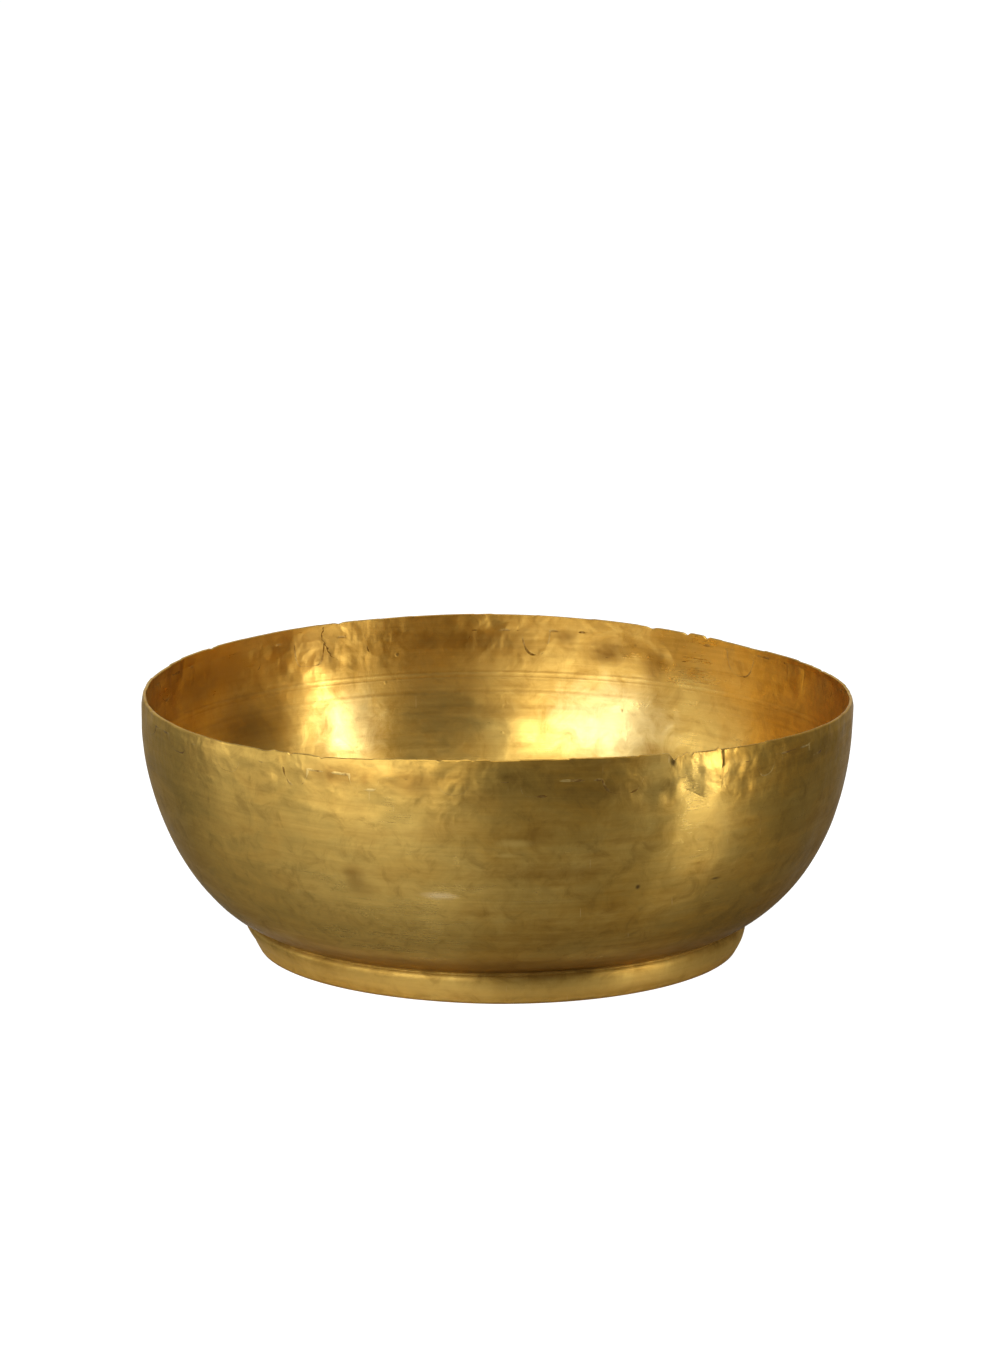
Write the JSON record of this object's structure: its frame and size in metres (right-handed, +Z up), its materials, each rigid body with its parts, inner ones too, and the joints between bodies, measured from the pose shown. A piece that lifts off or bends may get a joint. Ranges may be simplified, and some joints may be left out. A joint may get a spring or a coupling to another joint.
{
  "type": "brass bowl",
  "caption": "Wide shallow sheet brass bowl with a raw wavy rim, a toothed brazed joint below it and a low brazed foot band.",
  "frame": {"origin": "on the ground at the centre of the foot, under the middle of the bowl", "axes": "+Z up through the bowl's mouth, -Y towards the high part of the rim nearest the lapped end of the band"},
  "size_m": [0.3284, 0.3282, 0.1223],
  "materials": {
    "shell": "worn satin with fine turning lines and brown patina",
    "rim": "worn satin, hammered, raw bright edge",
    "braze": "dull, paler than the sheet",
    "foot": "worn satin, darker in the crease"
  },
  "bodies": {
    "root": {"bowl_shell": "shell", "rim_band": "rim", "rim_braze": "braze", "foot_ring": "foot", "foot_braze": "braze"}
  },
  "joints": []
}
